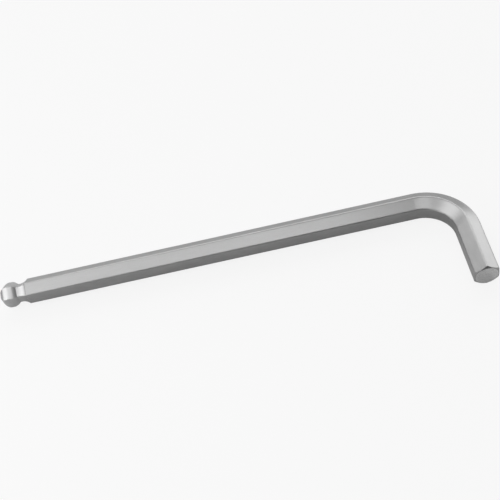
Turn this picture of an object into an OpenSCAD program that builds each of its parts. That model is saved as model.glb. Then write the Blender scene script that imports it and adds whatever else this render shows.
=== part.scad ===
// Ball-end hex key: one length of hexagonal steel bar, bent to an L.
// The long arm runs along X and ends in a ball. The short arm runs towards -Y and ends flat.
// The key lies as it rests on a bench, on the lowest of its six corners.
// The origin is on the bench, under the middle of the key's outline.

/* [Bar] */
// Width of the bar across its flats
across_flats = 8; // [7:0.1:10]
// Rounding of the bar's six long corners
corner_r = 0.65; // [0.2:0.05:1.2]
// Radius on the inside of the bend
bend_r = 10.8; // [6:0.2:16]

/* [Arms] */
// Length of the long arm, from the back of the short arm to the tip of the ball
long_arm = 168.4; // [100:0.2:240]
// Length of the short arm, from the back of the long arm to its end face
short_arm = 39.2; // [32:0.2:60]

/* [Short end] */
// Diameter of the flat end face
end_face_d = 7.3; // [5:0.1:8.5]
// Angle of the turned chamfer, measured from the end face
chamfer_angle = 30; // [15:5:60]

/* [Ball end] */
// Width of the flat tip across its six sides
tip_flat = 2.5; // [1:0.1:4]
// Depth of the neck below the bar's flats
neck_depth = 1.15; // [0.6:0.05:1.5]
// Height of the small step from the neck up to the back of the ball
neck_step = 0.1; // [0.05:0.05:0.3]
// Distance from the back of the ball to the narrowest point of the neck
neck_len = 0.7; // [0.1:0.1:1]
// Radius of the hollow ground across each flat, from the neck out to the full bar
hollow_r = 4.5; // [3.5:0.5:12]

/* [Hidden] */
$fn = 96;

sides = 6;
side_angle = 360 / sides;
flat_r = across_flats / 2;

// From the bar's middle to where its flats would meet, to the centre of a rounded corner,
// and to the ridge of that corner
corner_reach = flat_r / cos(side_angle / 2);
round_reach = corner_reach - corner_r / cos(side_angle / 2);
ridge_reach = round_reach + corner_r;

// Long enough to pass right through the bar from side to side
through = 2 * across_flats;

// Centre line of the bend
mid_r = bend_r + flat_r;

// Ball end, measured along the bar from the middle of the ball
ball_r = flat_r;
tip_reach = sqrt(pow(ball_r, 2) - pow(tip_flat / 2, 2));
back_reach = sqrt(pow(ball_r, 2) - pow(flat_r - neck_depth + neck_step, 2));
neck_reach = back_reach + neck_len;

// Straight lengths of the arms, the long one from the middle of the ball
long_straight = long_arm - flat_r - mid_r - tip_reach;
short_straight = short_arm - flat_r - mid_r;

// Where the centre lines of the two arms cross
crossing = [long_arm / 2 - flat_r, short_arm / 2 - flat_r, ridge_reach];

// Cross-section of the bar, with its flats on the inside and the outside of the bend
module bar_section() {
    corners = [for (i = [0 : sides - 1]) (i + 0.5) * side_angle];
    polygon([
        for (a = corners)
            for (turn = [-side_angle / 2, side_angle / 2])
                round_reach * [cos(a), sin(a)] + corner_r * [cos(a + turn), sin(a + turn)]
    ]);
    for (a = corners)
        rotate(a) translate([round_reach, 0]) circle(r = corner_r);
}

// The long arm's straight length, which starts inside the ball
module long_straight_bar() {
    start = back_reach / 2;
    translate([start - mid_r - long_straight, 0, 0]) rotate([90, 0, 90])
        linear_extrude(height = long_straight - start) bar_section();
}

// The bend, turned about its own centre from the short arm to the long arm
module bend() {
    translate([-mid_r, -mid_r, 0])
        rotate_extrude(angle = 90) translate([mid_r, 0]) bar_section();
}

// The short arm's straight length, with a turned chamfer that leaves a round end face
module short_end() {
    face_r = end_face_d / 2;
    cone_r = face_r + short_straight / tan(chamfer_angle);
    translate([0, -mid_r, 0]) rotate([90, 0, 0])
        intersection() {
            linear_extrude(height = short_straight) bar_section();
            cylinder(h = short_straight, r1 = cone_r, r2 = face_r);
        }
}

// The round path of the grinding wheel across each of the six flats, which leaves the neck
module neck_hollows() {
    wheel_reach = flat_r - neck_depth + hollow_r;
    for (i = [0 : sides - 1])
        rotate([i * side_angle, 0, 0]) translate([neck_reach, wheel_reach, 0])
            cylinder(h = through, r = hollow_r, center = true);
}

// Side view of the ball, square onto one of its faces: round, with a flat tip
module ball_side() {
    intersection() {
        circle(r = ball_r);
        translate([-tip_reach, -ball_r]) square([tip_reach + back_reach, 2 * ball_r]);
    }
}

// One pair of the ball's crowned faces, which a turn about the bar brings up
module ball_faces(turn) {
    rotate([turn, 0, 0]) linear_extrude(height = through, center = true) ball_side();
}

// The six-sided ball, which is what three pairs of faces have in common. Its ridges stay within
// the bar's rounded corners.
module ball() {
    intersection() {
        ball_faces(0);
        ball_faces(side_angle);
        ball_faces(2 * side_angle);
        rotate([0, 90, 0]) cylinder(h = through, r = ridge_reach, center = true);
    }
}

module hex_key() {
    color("silver")
        translate(crossing) {
            difference() {
                union() {
                    long_straight_bar();
                    bend();
                    short_end();
                }
                translate([-mid_r - long_straight, 0, 0]) neck_hollows();
            }
            translate([-mid_r - long_straight, 0, 0]) ball();
        }
}

hex_key();
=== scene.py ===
# A ball-end hex key, lying on a pale table under soft studio lights. Sizes are in metres.
from math import pi, radians, tan

import bmesh
import bpy
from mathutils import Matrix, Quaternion, Vector


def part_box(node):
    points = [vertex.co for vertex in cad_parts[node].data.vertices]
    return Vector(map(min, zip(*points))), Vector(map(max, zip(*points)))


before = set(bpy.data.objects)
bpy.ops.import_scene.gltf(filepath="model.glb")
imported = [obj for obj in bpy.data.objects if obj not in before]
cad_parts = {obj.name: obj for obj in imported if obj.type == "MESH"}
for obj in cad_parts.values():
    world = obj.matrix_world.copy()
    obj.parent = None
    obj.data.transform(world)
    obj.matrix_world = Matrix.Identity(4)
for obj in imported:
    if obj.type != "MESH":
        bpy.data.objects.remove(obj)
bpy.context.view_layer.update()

# The key: one length of hexagonal tool steel, bent to an L, ground to a ball at the end of the
# long arm and turned to a chamfer at the end of the short one. It is hardened, blasted fine and
# plated with satin nickel, so every face has the same soft grey sheen.
across_flats = 0.008
bend_inside = 0.0108
ground_length = 0.0102
end_face_reach = 0.00365
chamfer_slope = tan(radians(30))
key_low, key_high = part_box("hex_key")
flat_reach = across_flats / 2
ridge_reach = (key_high.z - key_low.z) / 2
bend_radius = bend_inside + flat_reach
bend_x = key_high.x - flat_reach - bend_radius
bend_y = key_high.y - flat_reach - bend_radius


class Finish:
    """One socket in a node tree. Arithmetic with it adds Math nodes to the same tree."""

    def __init__(self, tree, socket=None):
        self.tree = tree
        self.socket = socket

    def node(self, kind, settings=None, sockets=None, out=0):
        """Adds a node, makes its settings, fills its sockets, and gives one of its outputs."""
        made = self.tree.nodes.new(kind)
        for name, value in (settings or {}).items():
            setattr(made, name, value)
        for name, value in (sockets or {}).items():
            if isinstance(value, Finish):
                self.tree.links.new(value.socket, made.inputs[name])
            else:
                made.inputs[name].default_value = value
        return Finish(self.tree, made.outputs[out])

    def math(self, operation, *values):
        """Adds a Math node whose first value is this socket."""
        sockets = dict(enumerate((self, *values)))
        return self.node("ShaderNodeMath", {"operation": operation}, sockets)

    def __add__(self, other):
        return self.math("ADD", other)

    def __sub__(self, other):
        return self.math("SUBTRACT", other)

    def __rsub__(self, other):
        return (self * -1).math("ADD", other)

    def __mul__(self, other):
        return self.math("MULTIPLY", other)

    __radd__ = __add__
    __rmul__ = __mul__

    def step(self, low, high):
        """0 at low and 1 at high, with a smooth change between them."""
        ends = {"Value": self, "From Min": low, "From Max": high}
        return self.node("ShaderNodeMapRange", {"interpolation_type": "SMOOTHSTEP"}, ends)

    def parts(self):
        """The X, Y and Z of a vector."""
        split = {"Vector": self}
        return [self.node("ShaderNodeSeparateXYZ", None, split, out) for out in "XYZ"]

    def vector(self, y, z):
        """A vector with this socket as its X."""
        return self.node("ShaderNodeCombineXYZ", None, {"X": self, "Y": y, "Z": z})

    def noise(self, scales, detail=2.0):
        """Noise between -0.5 and 0.5 at this place, stretched by the scales."""
        stretched = self.node("ShaderNodeVectorMath", {"operation": "MULTIPLY"}, {0: self, 1: scales})
        settings = {"Vector": stretched, "Scale": 1.0, "Detail": detail}
        return self.node("ShaderNodeTexNoise", None, settings) - 0.5

    def into(self, shader, name):
        """Links this socket to a shader's input."""
        self.tree.links.new(self.socket, shader.inputs[name])


def satin_nickel():
    """Satin nickel over drawn steel, with the tool marks of both ends under it, and painted
    reflection lightening the ground ball and the end face.
    """
    material = bpy.data.materials.new("satin_nickel")
    material.use_nodes = True
    surface = material.node_tree.nodes["Principled BSDF"]
    place = Finish(material.node_tree).node("ShaderNodeTexCoord", out="Object")
    x, y, z = place.parts()

    # Places on the bar as if it were straight: along it from the start of the bend, outwards
    # from its centre line towards the outside of the bend, and up
    over_x = (x - bend_x).math("MAXIMUM", 0)
    over_y = (y - bend_y).math("MAXIMUM", 0)
    turn = over_x.math("ARCTAN2", over_y)
    along = (x - bend_x).math("MINIMUM", 0) + (bend_y - y).math("MAXIMUM", 0) + turn * bend_radius
    outward = (over_x * over_x + over_y * over_y).math("SQRT") - bend_radius
    up = z - (key_low.z + ridge_reach)
    reach = (outward * outward + up * up).math("SQRT")
    bar = along.vector(outward, up)

    # Where the tools have been: the ridges, which the blast dulls most, the ground ball and its
    # neck, and the turned end face and chamfer
    dull_band = 0.00014
    dull_line = 0.00002
    ground_end = key_low.x + ground_length
    tool_edge = 0.00004
    turned_skin = 0.00001
    ridge = reach.step(ridge_reach - dull_band, ridge_reach - dull_line)
    ground = x.step(ground_end + tool_edge, ground_end - tool_edge)
    from_end = y - key_low.y
    chamfer = (from_end - (reach - end_face_reach) * chamfer_slope).math("ABSOLUTE")
    end_face = from_end.step(tool_edge, turned_skin)
    turned = end_face.math("MAXIMUM", chamfer.step(tool_edge, turned_skin))

    # Drawing lines along the bar, the fine blast over them, faint clouds in the plating and the
    # wheel's marks across the ball end, each with its marks to a metre along the bar, outwards
    # and up. The turned rings have theirs from the middle outwards.
    lines = bar.noise((70, 6000, 6000), 3.0)
    blast = bar.noise((4200, 4200, 4200), 2.0)
    clouds = bar.noise((150, 420, 420), 3.0)
    wheel = bar.noise((7000, 260, 260), 2.0)
    rings = reach.vector(0, 0).noise((9000, 0, 0), 2.0)

    # How light, how rough and how deep the marks make the plating. A painted reflection also makes
    # the ground ball a little lighter and the end face much lighter.
    nickel_tone = 0.45
    satin = 0.31
    mark_depth = 0.00002
    marks = (1 - ground) * (1 - turned) * lines + 1.2 * ground * wheel + 1.6 * turned * rings
    # Painted reflection: the colour is 0.1 lighter on the ground ball and 0.32 lighter on the end
    # face.
    tone = nickel_tone + 0.05 * marks + 0.05 * blast + 0.08 * clouds + 0.1 * ground + 0.32 * end_face
    grey = tone.node("ShaderNodeCombineColor", None, {"Red": tone, "Green": tone, "Blue": tone})
    gloss = satin + 0.1 * marks + 0.05 * blast + 0.08 * clouds + 0.14 * ridge - 0.03 * turned
    relief = {"Strength": 0.18, "Distance": mark_depth, "Height": marks + 0.7 * blast}
    surface.inputs["Metallic"].default_value = 1.0
    grey.into(surface, "Base Color")
    gloss.into(surface, "Roughness")
    tone.node("ShaderNodeBump", None, relief, "Normal").into(surface, "Normal")
    return material


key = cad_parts["hex_key"]
plating = satin_nickel()
for held in key.material_slots:
    held.material = plating

# The table: a smooth matt pale top, far wider than the key, which takes the key's shadow. The
# camera sees it nearly plain white, and the metal only a little whiter than it is, so that the
# key's front face stays dark.
table_width = 6.0
paint_tone = 0.7
white_to_camera = 0.87
white_in_metal = 0.04


def white_share(tree):
    """The share of plain white that a ray sees: most for the camera, a little for the metal."""
    camera, glossy, through = [
        tree.node("ShaderNodeLightPath", out=ray)
        for ray in ("Is Camera Ray", "Is Glossy Ray", "Is Transmission Ray")
    ]
    return white_to_camera * camera + white_in_metal * (glossy + through)


table_mesh = bmesh.new()
bmesh.ops.create_grid(table_mesh, x_segments=1, y_segments=1, size=table_width / 2)
bmesh.ops.translate(table_mesh, verts=table_mesh.verts, vec=(0, 0, key_low.z))
table = bpy.data.objects.new("table", bpy.data.meshes.new("table"))
table_mesh.to_mesh(table.data)
table_mesh.free()
bpy.context.scene.collection.objects.link(table)

white_top = bpy.data.materials.new("white_top")
white_top.use_nodes = True
paint = white_top.node_tree.nodes["Principled BSDF"]
paint.inputs["Base Color"].default_value = (paint_tone, paint_tone, paint_tone, 1)
paint.inputs["Roughness"].default_value = 1.0
paint.inputs["Specular IOR Level"].default_value = 0.0
top = Finish(white_top.node_tree)
white = top.node("ShaderNodeEmission", None, {"Color": (1, 1, 1, 1), "Strength": 1.0})
painted = Finish(white_top.node_tree, paint.outputs["BSDF"])
mixed = top.node("ShaderNodeMixShader", None, {0: white_share(top), 1: painted, 2: white})
mixed.into(white_top.node_tree.nodes["Material Output"], "Surface")
table.data.materials.append(white_top)

# The studio: boxes of white cloth with a lamp inside, hung behind the key, to both sides of it
# and above it. The numbers are a box's middle, the place it faces, its width and height, and how
# bright its cloth looks, where 1 is white.


def soft_box(name, middle, aim, width, height, brightness):
    """Hangs one box. A flat lamp's power is pi times its brightness and its area."""
    lamp = bpy.data.lights.new(name, "AREA")
    lamp.shape = "RECTANGLE"
    lamp.size = width
    lamp.size_y = height
    lamp.energy = brightness * pi * width * height
    box = bpy.data.objects.new(name, lamp)
    bpy.context.scene.collection.objects.link(box)
    box.location = middle
    box.rotation_mode = "QUATERNION"
    box.rotation_quaternion = (Vector(aim) - Vector(middle)).to_track_quat("-Z", "Y")


soft_box("back_box", (0.12, 0.85, 0.66), (0, 0, 0), 1.2, 0.8, 1.62)
soft_box("back_left_box", (-0.6, 0.8, 0.6), (0, 0, 0), 0.4, 0.4, 0.5)
soft_box("right_box", (0.9, 0.65, 0.6), (0, 0, 0), 0.5, 0.4, 1.2)
soft_box("low_right_box", (1.0, 0.75, 0.3), (0, 0, 0), 0.5, 0.4, 1.4)
soft_box("far_right_box", (1.0, -0.05, 0.5), (0, 0, 0), 0.3, 0.3, 1.2)
soft_box("left_box", (-0.305, -0.097, 0.155), (-0.06, 0, 0), 0.42, 0.21, 1.6)
soft_box("upper_left_box", (-0.35, 0.12, 0.6), (-0.1, 0, 0), 0.38, 0.36, 1.7)
soft_box("overhead_left_box", (-0.35, -0.2, 0.6), (-0.35, -0.2, 0), 0.5, 0.2, 1.45)
soft_box("overhead_box", (0.03, -0.22, 0.6), (0.03, -0.22, 0), 0.25, 0.18, 1.85)
soft_box("overhead_right_box", (0.36, -0.18, 0.6), (0.36, -0.18, 0), 0.3, 0.2, 0.6)

# The room round the lights: pale at the back, towards the floor, and dim everywhere else. The
# camera sees its walls nearly as white as the table.
dim_wall = 0.07
pale_wall = 0.62
room = bpy.data.worlds.new("room")
room.use_nodes = True
inside = room.node_tree.nodes["Background"]
air = Finish(room.node_tree)
facing = air.node("ShaderNodeTexCoord", out="Generated").parts()[1]
walls = dim_wall + (pale_wall - dim_wall) * facing.step(0.2, 0.95)
whitened = walls + white_share(air) * (1 - walls)
whitened.into(inside, "Strength")
inside.inputs["Color"].default_value = (1, 1, 1, 1)
bpy.context.scene.world = room

# The camera: in front of the key and above it, looking down at about 50 degrees and rolled, so
# that the long arm climbs to the right.
looked_at = Vector((0.00669, 0.01216, 0.00452))
roll = radians(-16.39)
lens = bpy.data.cameras.new("camera")
lens.lens = 58.64
lens.sensor_width = 36
lens.clip_start = 0.01
lens.clip_end = 20
camera = bpy.data.objects.new("camera", lens)
bpy.context.scene.collection.objects.link(camera)
camera.location = (0.02376, -0.17192, 0.22108)
sight = looked_at - camera.location
camera.rotation_mode = "QUATERNION"
camera.rotation_quaternion = sight.to_track_quat("-Z", "Y") @ Quaternion((0, 0, 1), roll)
bpy.context.scene.camera = camera

bpy.context.scene.view_settings.view_transform = "Standard"
